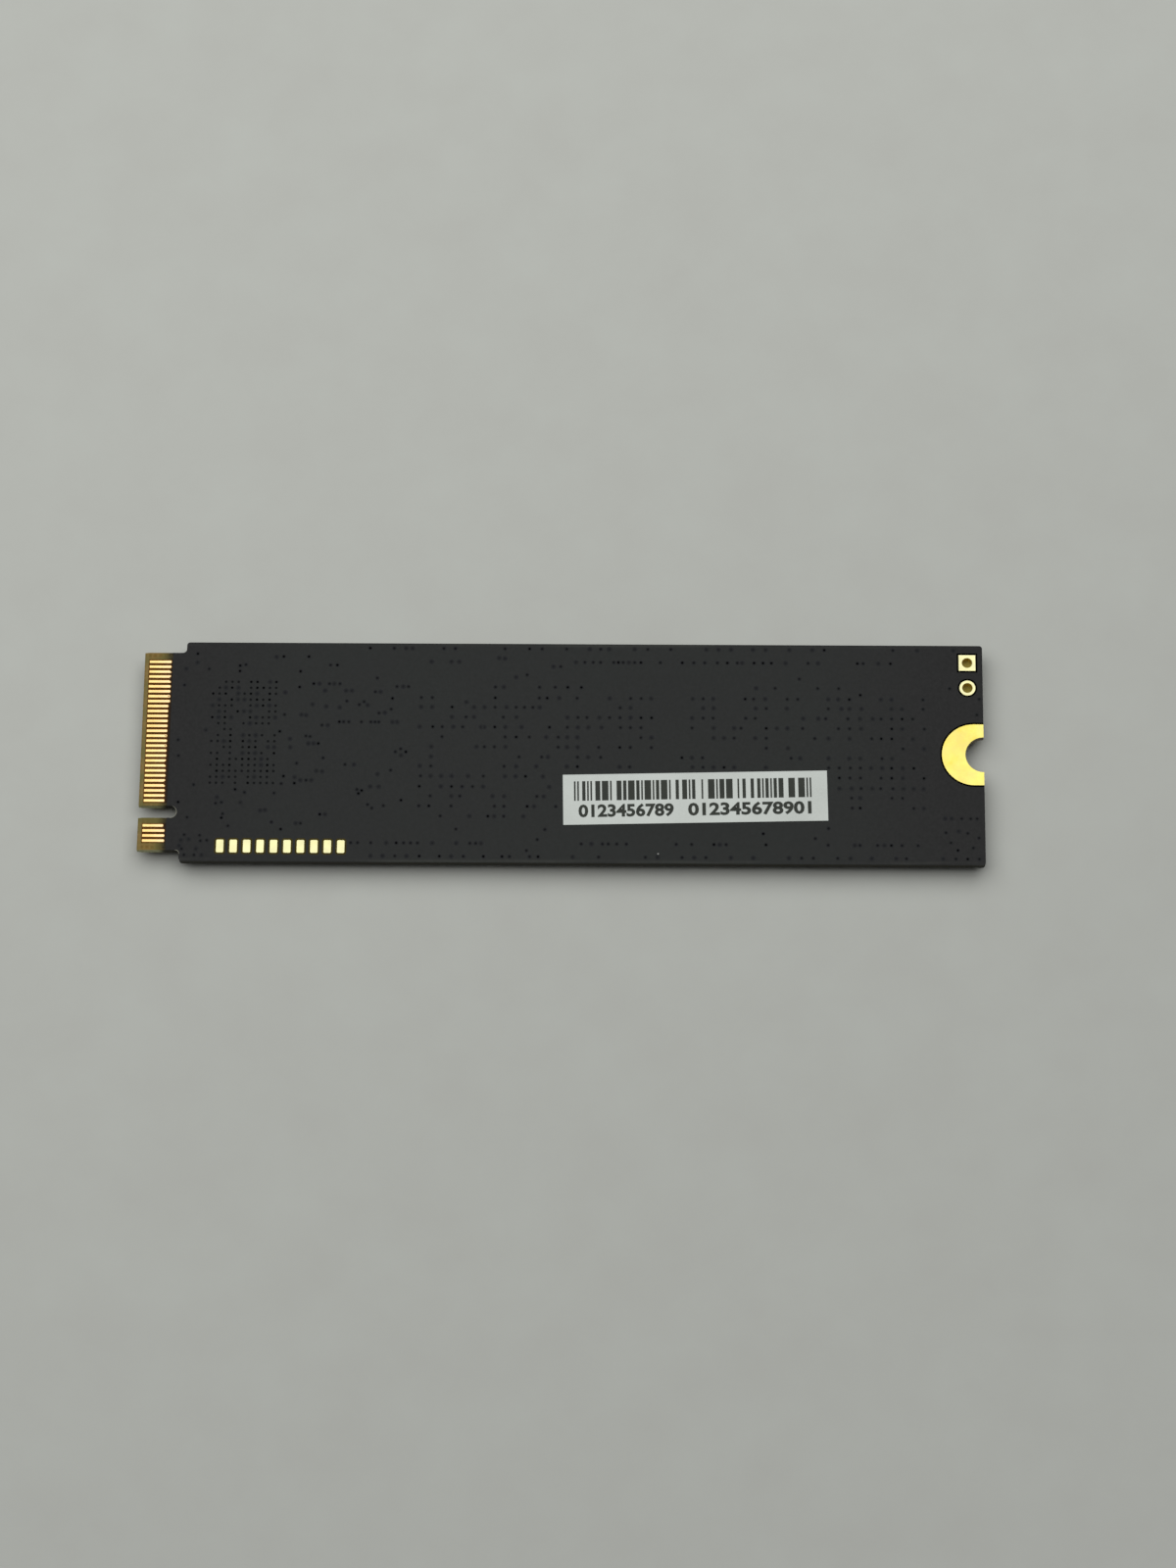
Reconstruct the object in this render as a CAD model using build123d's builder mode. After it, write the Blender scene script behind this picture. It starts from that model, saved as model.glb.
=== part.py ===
# Gumstick solid state drive. A keyed edge-contact card carries a controller, a row of memory
# packages and the power parts on its front face. Its back face has a printed label, a screw
# land, two header lands and a row of test pads. The card lies on its tallest packages with
# the back face up. The origin is the centre of its outline on that surface, +X runs from the
# keyed tongue to the screw end and +Z is up. Sizes are in millimetres.

from build123d import *
import os
import random

# Card
board_length = 80.0
board_width = 22.0
board_thickness = 0.80  # over both solder masks
board_corner = 0.30
mask_thickness = 0.03
mask_gap = 0.05  # bare ring between a land and the mask round it
plating = 0.018  # copper on a hole wall

# Keyed tongue
tongue_length = 4.0
tongue_inset = 1.075  # step at each side of the tongue
tongue_corner = 0.40
bevel_length = 0.40
bevel_depth = 0.13
key_width = 1.20
key_depth = 3.60
key_offset = 6.125  # centre line of the key, below the card's own

# Contact fingers
finger_pitch = 0.50
finger_width = 0.35
finger_setback = 0.43  # from the tip of the tongue
finger_length_back = 2.05
finger_length_front = 2.00
finger_extra = 0.14  # the fingers by both sides of the tongue are this much longer on the back
extra_above = 4.75  # centre lines of the longer fingers lie above this
extra_below = -7.75  # or below this
finger_corner = 0.09
finger_slant = 0.18  # cut across an inner end where its trace leaves at a slant
slanted_high = (3, 5, 22, 26)  # fingers cut on their +Y side, counted from the tongue's +Y side
slanted_low = (4, 21, 25)  # fingers cut on their -Y side
finger_mask_gap = 0.08  # bare strip between the longest fingers and the mask
finger_edge_margin = 0.60  # from the side of the tongue to the first finger's centre
key_zone = 2.0  # width round the key that holds no finger

# Screw end
screw_radius = 1.75
screw_land_radius = 3.05
screw_land_inset = 0.92  # centre of the land's round end, from the card's end

# Header lands
header_pitch = 2.54
header_hole_radius = 0.50
square_land = 1.60
round_land = 1.52
header_from_end = 1.45
header_from_edge = 1.73

# Test pads
pad_count = 10
pad_pitch = 1.27
pad_width = 0.70
pad_length = 1.27
pad_corner = 0.08
pad_from_shoulder = 3.85
pad_from_edge = 1.50

# Label
label_length = 25.0
label_width = 5.0
label_thickness = 0.08
label_x = 12.68
label_y = -4.47
label_tilt = 1.3
bar_height = 1.95
bar_rise = 0.85  # centre of the bars above the label's centre line
bar_margin = 1.05  # bare label at each end of the bars
bar_module = 0.155
code_gap = 0.55  # between the two codes
code_split = 0.33  # middle of that gap, from the label's centre
print_thickness = 0.01

# Memory packages
memory_length = 12.0
memory_width = 18.0
memory_height = 1.20
memory_gap = 0.90
memory_y = -0.45
memory_from_end = 4.20
memory_ball_columns = 11
memory_ball_rows = 12
memory_ball_pitch = 1.0
memory_ball_size = 0.42
memory_standoff = 0.25

# Controller
controller_length = 8.0
controller_width = 12.0
controller_height = 1.10
controller_y = 1.90
controller_ball_columns = 12
controller_ball_rows = 19
controller_ball_pitch = 0.60
controller_ball_size = 0.28
controller_standoff = 0.20

# Both kinds of package
ball_ring_count = 2  # rings of balls that are modelled, from the outside
substrate_thickness = 0.20
corner_mark_size = 0.45
corner_mark_depth = 0.04
corner_mark_inset = 0.80

# Power converter
converter_size = 4.0
converter_height = 0.75
converter_lands = 6  # a side
converter_land_pitch = 0.50
converter_land = (0.25, 0.40, 0.05)
converter_pad = 2.50

# Load switch with gull-wing leads
switch_length = 2.90
switch_width = 1.60
switch_body = 0.75
switch_lift = 0.10
switch_span = 2.80
switch_lead_pitch = 0.95
switch_lead_width = 0.40
switch_lead_thickness = 0.13
switch_foot = 0.35

# Inductors
inductor_length = 2.50
inductor_width = 2.00
inductor_height = 1.00
inductor_terminal = 0.60
inductor_strap = 0.08
inductor_rise = 0.45
inductor_chamfer = 0.15

# Crystal
crystal_length = 2.50
crystal_width = 2.00
crystal_base = 0.35
crystal_lid = 0.20
crystal_rim = 0.12
crystal_corner = 0.25
crystal_pad = (0.80, 0.70, 0.04)

# Chip capacitors and resistors: length, width, height and terminal length
capacitor_large = (2.00, 1.25, 0.85, 0.40)
capacitor_medium = (1.60, 0.80, 0.80, 0.30)
capacitor_small = (1.00, 0.50, 0.50, 0.22)
resistor_small = (1.00, 0.50, 0.35, 0.20)
solder_reach = 0.12  # foot of a solder fillet, out from its terminal
solder_share = 0.60  # height of a solder fillet as a share of its terminal
ceramic_inset = 0.02  # the ceramic is this much smaller all round than its terminals

# Clear space between neighbouring parts on the front face
part_gap = 0.45
power_gap = 1.10  # between rows of power parts
power_zone = 9.60  # length along the card for the power parts
lane_pitch = 2.40
above_controller_pitch = 1.50
above_memory_pitch = 3.40
below_memory_pitch = 5.20

# The surface that the card lies on is z = 0, and the tallest package touches it.
front_z = max(memory_height, controller_height, inductor_height)
back_z = front_z + board_thickness
laminate_low = front_z + mask_thickness
laminate_high = back_z - mask_thickness
tip_x = -board_length / 2
end_x = board_length / 2
edge_y = board_width / 2
shoulder_x = tip_x + tongue_length
tongue_y = edge_y - tongue_inset
finger_start = tip_x + finger_setback
mask_start_back = finger_start + finger_length_back + finger_extra + finger_mask_gap
mask_start_front = finger_start + finger_length_front + finger_mask_gap
header_x = end_x - header_from_end
header_y = edge_y - header_from_edge

# Places along the card, from the shoulder to the screw end
coupling_x = shoulder_x + part_gap / 2 + capacitor_small[0] / 2 + solder_reach
controller_x = coupling_x + capacitor_small[0] / 2 + solder_reach + part_gap / 2 + controller_length / 2
controller_end = controller_x + controller_length / 2
column_x = controller_end + part_gap + capacitor_small[1] / 2
power_start = column_x + capacitor_small[1] / 2 + part_gap
memory_pitch = memory_length + memory_gap
memory_space = end_x - memory_from_end - power_start - power_zone
memory_count = int((memory_space + memory_gap) / memory_pitch)
memory_xs = [end_x - memory_from_end - memory_length / 2 - memory_pitch * step
             for step in reversed(range(memory_count))]
power_x = power_start + power_zone / 2
converter_y = memory_y

near = 0.01  # places closer than this are the same
parts = []


def keep(part, label):
    """Label a finished piece and remember it for export."""
    part.label = label
    parts.append(part)


def card_plan(start_x, screw_hole, header_hole):
    """Outline of the card from start_x to its screw end, with its key and holes."""
    with BuildSketch() as plan:
        with Locations(((shoulder_x + end_x) / 2, 0)):
            Rectangle(end_x - shoulder_x, board_width)
        fillet(plan.vertices(), board_corner)
        with Locations(((start_x + shoulder_x + tongue_corner) / 2, 0)):
            Rectangle(shoulder_x + tongue_corner - start_x, 2 * tongue_y)
        inner = [corner for corner in plan.vertices()
                 if abs(corner.X - shoulder_x) < near and abs(abs(corner.Y) - tongue_y) < near]
        fillet(inner, min(tongue_corner, 0.9 * (tongue_inset - board_corner)))
        with Locations((tip_x + (key_depth - key_width / 2) / 2, -key_offset)):
            Rectangle(key_depth - key_width / 2, key_width, mode=Mode.SUBTRACT)
        with Locations((tip_x + key_depth - key_width / 2, -key_offset)):
            Circle(key_width / 2, mode=Mode.SUBTRACT)
        with Locations((end_x, 0)):
            Circle(screw_hole, mode=Mode.SUBTRACT)
        with Locations((header_x, header_y), (header_x, header_y - header_pitch)):
            Circle(header_hole, mode=Mode.SUBTRACT)
    return plan.sketch


def screw_land_plan(grow):
    """Round-ended land about the half-moon, up to the card's end, grown by a margin."""
    reach = screw_land_radius + grow
    with BuildSketch() as plan:
        with Locations((end_x - screw_land_inset, 0)):
            Circle(reach)
        with Locations((end_x, 0)):
            Rectangle(2 * screw_land_inset, 2 * reach)
        with Locations((end_x + reach, 0)):
            Rectangle(2 * reach, 3 * reach, mode=Mode.SUBTRACT)
        with Locations((end_x, 0)):
            Circle(screw_radius, mode=Mode.SUBTRACT)
    return plan.sketch


def pad_row(grow):
    """The row of test pads, each grown by a margin."""
    middle_x = shoulder_x + pad_from_shoulder + (pad_count - 1) * pad_pitch / 2
    with BuildSketch() as row:
        with Locations((middle_x, pad_from_edge - edge_y)):
            with GridLocations(pad_pitch, 1, pad_count, 1):
                Rectangle(pad_width + 2 * grow, pad_length + 2 * grow)
        chamfer(row.vertices(), pad_corner)
    return row.sketch


def header_lands(grow):
    """The square land, and the round land below it, each grown by a margin."""
    with BuildSketch() as lands:
        with Locations((header_x, header_y)):
            Rectangle(square_land + 2 * grow, square_land + 2 * grow)
        with Locations((header_x, header_y - header_pitch)):
            Circle(round_land / 2 + grow)
    return lands.sketch


# Laminate of the card, with a bevel along both edges of the tongue's tip
with BuildPart() as board_laminate:
    with BuildSketch(Plane.XY.offset(laminate_low)):
        add(card_plan(tip_x, screw_radius + plating, header_hole_radius + plating))
    extrude(amount=laminate_high - laminate_low)
    with BuildSketch(Plane.XZ) as bevels:
        with BuildLine():
            Polyline((tip_x, laminate_low), (tip_x + bevel_length, laminate_low),
                     (tip_x, laminate_low + bevel_depth), close=True)
        make_face()
        with BuildLine():
            Polyline((tip_x, laminate_high), (tip_x + bevel_length, laminate_high),
                     (tip_x, laminate_high - bevel_depth), close=True)
        make_face()
    extrude(amount=board_width, both=True, mode=Mode.SUBTRACT)
keep(board_laminate.part, "board_laminate")

# Solder masks: the back one is open at every land and pad, the front one at the through lands
with BuildPart() as solder_mask_back:
    with BuildSketch(Plane.XY.offset(laminate_high)):
        add(card_plan(mask_start_back, screw_radius, header_hole_radius))
        add(screw_land_plan(mask_gap), mode=Mode.SUBTRACT)
        add(header_lands(mask_gap), mode=Mode.SUBTRACT)
        add(pad_row(mask_gap), mode=Mode.SUBTRACT)
    extrude(amount=mask_thickness)
keep(solder_mask_back.part, "solder_mask_back")

with BuildPart() as solder_mask_front:
    with BuildSketch(Plane.XY.offset(front_z)):
        add(card_plan(mask_start_front, screw_radius, header_hole_radius))
        add(screw_land_plan(mask_gap), mode=Mode.SUBTRACT)
        add(header_lands(mask_gap), mode=Mode.SUBTRACT)
    extrude(amount=mask_thickness)
keep(solder_mask_front.part, "solder_mask_front")


def finger_centres(shift):
    """Finger centre lines across the tongue, clear of its sides and of the key."""
    reach = tongue_y - finger_edge_margin
    steps = range(-int(reach / finger_pitch) - 1, int(reach / finger_pitch) + 2)
    lines = [(step + shift) * finger_pitch for step in steps]
    return [y for y in lines if abs(y) <= reach and abs(y + key_offset) >= key_zone / 2]


def back_finger_outline(number, y):
    """Corners of a finger on the back face, its inner end cut as its trace leaves it."""
    beyond = y > extra_above or y < extra_below
    end = finger_start + finger_length_back + (finger_extra if beyond else 0)
    low_cut = finger_slant if number in slanted_low else finger_corner
    high_cut = finger_slant if number in slanted_high else finger_corner
    half = finger_width / 2
    return [(finger_start, y - half), (end - low_cut, y - half), (end, y - half + low_cut),
            (end, y + half - high_cut), (end - high_cut, y + half), (finger_start, y + half)]


with BuildPart() as contact_fingers_back:
    with BuildSketch(Plane.XY.offset(laminate_high)):
        for number, y in enumerate(sorted(finger_centres(0), reverse=True), start=1):
            with BuildLine():
                Polyline(*back_finger_outline(number, y), close=True)
            make_face()
    extrude(amount=mask_thickness)
keep(contact_fingers_back.part, "contact_fingers_back")

with BuildPart() as contact_fingers_front:
    with BuildSketch(Plane.XY.offset(front_z)):
        with Locations(*[(finger_start + finger_length_front / 2, y) for y in finger_centres(0.5)]):
            Rectangle(finger_length_front, finger_width)
    extrude(amount=mask_thickness)
keep(contact_fingers_front.part, "contact_fingers_front")

# Screw land: copper on both faces, joined by the plated wall of the half-moon
with BuildPart() as screw_land:
    with BuildSketch(Plane.XY.offset(front_z), Plane.XY.offset(laminate_high)):
        add(screw_land_plan(0))
    extrude(amount=mask_thickness)
    with BuildSketch(Plane.XY.offset(laminate_low)):
        with Locations((end_x, 0)):
            Circle(screw_radius + plating)
            Circle(screw_radius, mode=Mode.SUBTRACT)
        with Locations((end_x + screw_land_radius, 0)):
            Rectangle(2 * screw_land_radius, 2 * screw_land_radius, mode=Mode.SUBTRACT)
    extrude(amount=laminate_high - laminate_low)
keep(screw_land.part, "screw_land")


def header_land_part(y, square):
    """A plated through hole with a land on each face."""
    with BuildPart() as land:
        with BuildSketch(Plane.XY.offset(front_z), Plane.XY.offset(laminate_high)):
            with Locations((header_x, y)):
                if square:
                    Rectangle(square_land, square_land)
                else:
                    Circle(round_land / 2)
        extrude(amount=mask_thickness)
        with BuildSketch(Plane.XY.offset(laminate_low)):
            with Locations((header_x, y)):
                Circle(header_hole_radius + plating)
        extrude(amount=laminate_high - laminate_low)
        with Locations((header_x, y, back_z)):
            Hole(header_hole_radius)
    return land.part


keep(header_land_part(header_y, True), "header_land_square")
keep(header_land_part(header_y - header_pitch, False), "header_land_round")

with BuildPart() as test_pads:
    with BuildSketch(Plane.XY.offset(laminate_high)):
        add(pad_row(0))
    extrude(amount=mask_thickness)
keep(test_pads.part, "test_pads")

# Label and its bars, which stand on it as a film of ink
label_plane = Plane(origin=(label_x, label_y, back_z), z_dir=(0, 0, 1)).rotated((0, 0, label_tilt))
with BuildPart() as label_paper:
    with BuildSketch(label_plane):
        Rectangle(label_length, label_width)
    extrude(amount=label_thickness)
keep(label_paper.part, "label_paper")


def bar_spans():
    """Start and width of each bar of two codes: plain mixed widths that spell nothing."""
    widths = random.Random(4)
    reach = label_length / 2 - bar_margin
    spans = []
    for start, end in ((-reach, code_split - code_gap / 2), (code_split + code_gap / 2, reach)):
        while end - start > bar_module:
            width = min(widths.choice((1, 1, 2, 2, 3, 4, 4)) * bar_module, end - start)
            spans.append((start, width))
            start += width + widths.choice((1, 1, 1, 2, 3)) * bar_module
    return spans


with BuildPart() as label_bars:
    with BuildSketch(label_plane.offset(label_thickness)):
        for start, width in bar_spans():
            with Locations((start + width / 2, bar_rise)):
                Rectangle(width, bar_height)
    extrude(amount=print_thickness)
keep(label_bars.part, "label_bars")


def ball_places(columns, rows, pitch):
    """Grid places in the outer rings of a ball array."""
    places = []
    for column in range(columns):
        for row in range(rows):
            ring = min(column, row, columns - 1 - column, rows - 1 - row)
            if ring < ball_ring_count:
                places.append(((column - (columns - 1) / 2) * pitch, (row - (rows - 1) / 2) * pitch))
    return places


def ball_package(name, x, y, length, width, height, standoff, columns, rows, pitch, ball_size):
    """A moulded package on its substrate and solder balls, hung from the card's front face."""
    substrate_z = front_z - standoff - substrate_thickness
    with BuildPart() as solder_balls:
        with BuildSketch(Plane.XY.offset(front_z)):
            with Locations(*[(x + across, y + along) for across, along in ball_places(columns, rows, pitch)]):
                Rectangle(ball_size, ball_size)
        extrude(amount=-standoff)
    keep(solder_balls.part, name + "_balls")
    with BuildPart() as substrate:
        with BuildSketch(Plane.XY.offset(substrate_z)):
            with Locations((x, y)):
                Rectangle(length, width)
        extrude(amount=substrate_thickness)
    keep(substrate.part, name + "_substrate")
    with BuildPart() as mould:
        with BuildSketch(Plane.XY.offset(front_z - height)):
            with Locations((x, y)):
                Rectangle(length, width)
        extrude(amount=height - standoff - substrate_thickness)
        with BuildSketch(Plane.XY.offset(front_z - height)):
            with Locations((x + length / 2 - corner_mark_inset, y + width / 2 - corner_mark_inset)):
                RegularPolygon(corner_mark_size, 3, rotation=45)
        extrude(amount=corner_mark_depth, mode=Mode.SUBTRACT)
    keep(mould.part, name + "_mould")


ball_package("controller", controller_x, controller_y, controller_length, controller_width,
             controller_height, controller_standoff, controller_ball_columns, controller_ball_rows,
             controller_ball_pitch, controller_ball_size)
for number, memory_x in enumerate(memory_xs, start=1):
    ball_package(f"memory_{number}", memory_x, memory_y, memory_length, memory_width, memory_height,
                 memory_standoff, memory_ball_columns, memory_ball_rows, memory_ball_pitch,
                 memory_ball_size)


def front_places(places):
    """Locations on the front face from (x, y, turn)."""
    return [Location((x, y, front_z), (0, 0, turn)) for x, y, turn in places]


def chip_bodies(size, places):
    """Ceramic bodies of chip parts, between their terminals."""
    length, width, height, terminal = size
    with BuildPart() as bodies:
        with Locations(*front_places(places)):
            with Locations((0, 0, -ceramic_inset)):
                Box(length - 2 * terminal, width - 2 * ceramic_inset, height - 2 * ceramic_inset,
                    align=(Align.CENTER, Align.CENTER, Align.MAX))
    return bodies.part


def chip_terminals(size, places):
    """Plated ends of chip parts, each with the solder fillet that runs up its end face."""
    length, width, height, terminal = size
    inner = length / 2 - terminal
    with BuildPart() as pair:
        with BuildSketch(Plane.XZ):
            with BuildLine():
                Polyline((inner, 0), (length / 2 + solder_reach, 0), (length / 2, -solder_share * height),
                         (length / 2, -height), (inner, -height), close=True)
            make_face()
        extrude(amount=width / 2, both=True)
        mirror(about=Plane.YZ)
    with BuildPart() as terminals:
        with Locations(*front_places(places)):
            add(pair.part)
    return terminals.part


def spread(count, pitch):
    """Evenly spaced offsets about zero."""
    return [(step - (count - 1) / 2) * pitch for step in range(count)]


# Coupling capacitors of the serial lanes, in pairs between the fingers and the controller
pair_pitch = capacitor_small[1] + part_gap / 2
coupling_places = [(coupling_x, controller_y + lane + side, 0)
                   for lane in spread(4, lane_pitch) for side in spread(2, pair_pitch)]
keep(chip_bodies(capacitor_small, coupling_places), "coupling_capacitor_bodies")
keep(chip_terminals(capacitor_small, coupling_places), "coupling_capacitor_terminals")

# Decoupling capacitors: a column beside the controller, a row above it, and more by the memory
# packages and the power converter
column_pitch = capacitor_small[0] + 2 * solder_reach + part_gap / 3
above_controller_y = controller_y + controller_width / 2 + part_gap + capacitor_small[0] / 2 + solder_reach
below_memory_y = memory_y - memory_width / 2 - part_gap - capacitor_small[1] / 2
beside_converter = converter_size / 2 + part_gap + capacitor_small[1] / 2
small_places = [(column_x, controller_y + step, 90) for step in spread(8, column_pitch)]
small_places += [(controller_x + step, above_controller_y, 90) for step in spread(5, above_controller_pitch)]
small_places += [(memory_x + step, below_memory_y, 0)
                 for memory_x in memory_xs for step in spread(2, below_memory_pitch)]
small_places += [(power_x + side * beside_converter, converter_y + step, 90)
                 for side in (-1, 1) for step in spread(2, column_pitch)]
keep(chip_bodies(capacitor_small, small_places), "decoupling_capacitor_bodies")
keep(chip_terminals(capacitor_small, small_places), "decoupling_capacitor_terminals")

above_memory_y = memory_y + memory_width / 2 + part_gap + capacitor_medium[1] / 2
medium_places = [(memory_x + step, above_memory_y, 0)
                 for memory_x in memory_xs for step in spread(3, above_memory_pitch)]
keep(chip_bodies(capacitor_medium, medium_places), "memory_capacitor_bodies")
keep(chip_terminals(capacitor_medium, medium_places), "memory_capacitor_terminals")

# Power converter: a moulded body on a centre pad and a ring of lands
land_width, land_length, land_thickness = converter_land
with BuildPart() as converter_body:
    with Locations((power_x, converter_y, front_z - land_thickness)):
        Box(converter_size, converter_size, converter_height - land_thickness,
            align=(Align.CENTER, Align.CENTER, Align.MAX))
keep(converter_body.part, "power_converter_body")

with BuildPart() as converter_lands_part:
    with BuildSketch(Plane.XY.offset(front_z)):
        with Locations((power_x, converter_y)):
            Rectangle(converter_pad, converter_pad)
            for turn in range(4):
                with Locations(Location((0, 0, 0), (0, 0, 90 * turn))):
                    with Locations((converter_size / 2 - land_length / 2, 0)):
                        with GridLocations(1, converter_land_pitch, 1, converter_lands):
                            Rectangle(land_length, land_width)
    extrude(amount=-land_thickness)
keep(converter_lands_part.part, "power_converter_lands")

# Inductors round the converter, each with a strap under and up both of its ends
inductor_step_x = inductor_length / 2 + part_gap
inductor_step_y = converter_size / 2 + power_gap + inductor_width / 2
inductor_places = [(power_x - inductor_step_x, converter_y + inductor_step_y, 0),
                   (power_x + inductor_step_x, converter_y + inductor_step_y, 0),
                   (power_x + inductor_step_x, converter_y - inductor_step_y, 0)]
with BuildPart() as inductor_body:
    with Locations((0, 0, -inductor_strap)):
        Box(inductor_length - 2 * inductor_strap, inductor_width, inductor_height - inductor_strap,
            align=(Align.CENTER, Align.CENTER, Align.MAX))
    chamfer(inductor_body.edges().filter_by(Axis.Z), inductor_chamfer)
with BuildPart() as inductor_bodies:
    with Locations(*front_places(inductor_places)):
        add(inductor_body.part)
keep(inductor_bodies.part, "inductor_bodies")

with BuildPart() as inductor_straps:
    outer = inductor_length / 2
    inner = outer - inductor_terminal
    with BuildSketch(Plane.XZ):
        with BuildLine():
            Polyline((inner, 0), (outer, 0), (outer, -inductor_rise),
                     (outer - inductor_strap, -inductor_rise), (outer - inductor_strap, -inductor_strap),
                     (inner, -inductor_strap), close=True)
        make_face()
    extrude(amount=inductor_width / 2 - inductor_chamfer, both=True)
    mirror(about=Plane.YZ)
with BuildPart() as inductor_terminals:
    with Locations(*front_places(inductor_places)):
        add(inductor_straps.part)
keep(inductor_terminals.part, "inductor_terminals")

# Bulk capacitors at the inductors' outer sides, two rows above and one below
bulk_pitch = capacitor_large[0] + 2 * solder_reach + part_gap
bulk_step_y = inductor_step_y + inductor_width / 2 + power_gap + capacitor_large[1] / 2
bulk_rows = (converter_y + bulk_step_y, converter_y + bulk_step_y + capacitor_large[1] + power_gap,
             converter_y - bulk_step_y)
bulk_places = [(power_x + step, row, 0) for row in bulk_rows for step in spread(3, bulk_pitch)]
keep(chip_bodies(capacitor_large, bulk_places), "bulk_capacitor_bodies")
keep(chip_terminals(capacitor_large, bulk_places), "bulk_capacitor_terminals")

# Load switch in the place left beside the inductors
switch_x = power_x - inductor_step_x
switch_y = converter_y - inductor_step_y
with BuildPart() as switch_body_part:
    with Locations((switch_x, switch_y, front_z - switch_lift)):
        Box(switch_length, switch_width, switch_body, align=(Align.CENTER, Align.CENTER, Align.MAX))
keep(switch_body_part.part, "load_switch_body")

with BuildPart() as switch_leads:
    side = switch_width / 2
    toe = switch_span / 2
    knee = side + (toe - switch_foot - side) / 2
    high = -switch_lift - switch_body / 2
    with BuildSketch(Plane.YZ.offset(switch_x)):
        with BuildLine():
            Polyline((side, high), (knee, high), (toe - switch_foot, -switch_lead_thickness),
                     (toe, -switch_lead_thickness), (toe, 0),
                     (toe - switch_foot - switch_lead_thickness / 2, 0),
                     (knee - switch_lead_thickness / 2, high + switch_lead_thickness),
                     (side, high + switch_lead_thickness), close=True)
        make_face()
    extrude(amount=switch_lead_width / 2, both=True)
    mirror(about=Plane.XZ)
with BuildPart() as load_switch_leads:
    with Locations((0, switch_y, front_z)):
        with GridLocations(switch_lead_pitch, 1, 3, 1):
            add(switch_leads.part)
keep(load_switch_leads.part, "load_switch_leads")

# Crystal below the controller, on four corner pads, with resistors at both sides
crystal_x = controller_x
crystal_y = controller_y - controller_width / 2 - part_gap - crystal_width
pad_length_x, pad_width_y, pad_height = crystal_pad
with BuildPart() as crystal_pads:
    with BuildSketch(Plane.XY.offset(front_z)):
        with Locations((crystal_x, crystal_y)):
            with GridLocations(crystal_length - pad_length_x, crystal_width - pad_width_y, 2, 2):
                Rectangle(pad_length_x, pad_width_y)
    extrude(amount=-pad_height)
keep(crystal_pads.part, "crystal_pads")

with BuildPart() as crystal_body:
    with Locations((crystal_x, crystal_y, front_z - pad_height)):
        Box(crystal_length, crystal_width, crystal_base, align=(Align.CENTER, Align.CENTER, Align.MAX))
keep(crystal_body.part, "crystal_base")

with BuildPart() as crystal_cover:
    with BuildSketch(Plane.XY.offset(front_z - pad_height - crystal_base)):
        with Locations((crystal_x, crystal_y)):
            RectangleRounded(crystal_length - 2 * crystal_rim, crystal_width - 2 * crystal_rim,
                             crystal_corner)
    extrude(amount=-crystal_lid)
keep(crystal_cover.part, "crystal_lid")

resistor_step = crystal_length / 2 + part_gap + resistor_small[0] / 2 + solder_reach
resistor_places = [(crystal_x + side * resistor_step, crystal_y + step, 0)
                   for side in (-1, 1) for step in spread(3, resistor_small[1] + part_gap)]
keep(chip_bodies(resistor_small, resistor_places), "resistor_bodies")
keep(chip_terminals(resistor_small, resistor_places), "resistor_terminals")

os.makedirs("parts", exist_ok=True)
for part in parts:
    export_step(part, f"parts/{part.label}.step")
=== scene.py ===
# Gumstick solid state drive on a pale table, seen from above its bare back face.

import math
import random

import bmesh
import bpy
from mathutils import Matrix, Vector


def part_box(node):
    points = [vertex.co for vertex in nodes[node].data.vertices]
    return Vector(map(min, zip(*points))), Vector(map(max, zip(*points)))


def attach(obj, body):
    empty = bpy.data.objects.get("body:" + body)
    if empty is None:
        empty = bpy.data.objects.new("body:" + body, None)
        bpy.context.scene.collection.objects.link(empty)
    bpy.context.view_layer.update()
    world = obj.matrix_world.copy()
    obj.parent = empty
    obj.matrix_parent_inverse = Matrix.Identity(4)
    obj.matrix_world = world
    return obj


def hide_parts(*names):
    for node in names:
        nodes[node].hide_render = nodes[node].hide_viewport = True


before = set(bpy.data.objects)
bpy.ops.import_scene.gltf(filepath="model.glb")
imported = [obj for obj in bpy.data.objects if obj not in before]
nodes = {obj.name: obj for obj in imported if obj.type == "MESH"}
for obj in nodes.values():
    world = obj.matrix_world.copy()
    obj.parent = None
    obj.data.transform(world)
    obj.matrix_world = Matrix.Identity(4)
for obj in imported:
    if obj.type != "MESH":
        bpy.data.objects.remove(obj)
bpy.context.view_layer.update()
mm = 0.001
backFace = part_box("solder_mask_back")[1].z
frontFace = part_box("solder_mask_front")[0].z
print("frame loaded with", len(nodes), "nodes")

view = bpy.context.scene.view_settings
view.view_transform = "Standard"


# Helpers for meshes and node trees

def finishPiece(bm, name, materials, smooth=False):
    mesh = bpy.data.meshes.new(name)
    for material in materials:
        mesh.materials.append(material)
    for face in bm.faces:
        face.smooth = smooth
    bm.to_mesh(mesh)
    bm.free()
    piece = bpy.data.objects.new(name, mesh)
    bpy.context.scene.collection.objects.link(piece)
    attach(piece, "root")
    return piece


def dress(material, *names):
    for name in names:
        for place in nodes[name].material_slots:
            place.material = material


def addNode(tree, kind, inputs=None, **settings):
    made = tree.nodes.new(kind)
    for key, value in settings.items():
        setattr(made, key, value)
    for key, value in (inputs or {}).items():
        if isinstance(value, bpy.types.NodeSocket):
            tree.links.new(value, made.inputs[key])
        else:
            made.inputs[key].default_value = value
    return made


def startMaterial(name, plain):
    material = bpy.data.materials.new(name)
    material.use_nodes = True
    shader = material.node_tree.nodes["Principled BSDF"]
    for key, value in plain.items():
        shader.inputs[key].default_value = value
    return material, material.node_tree, shader


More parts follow.
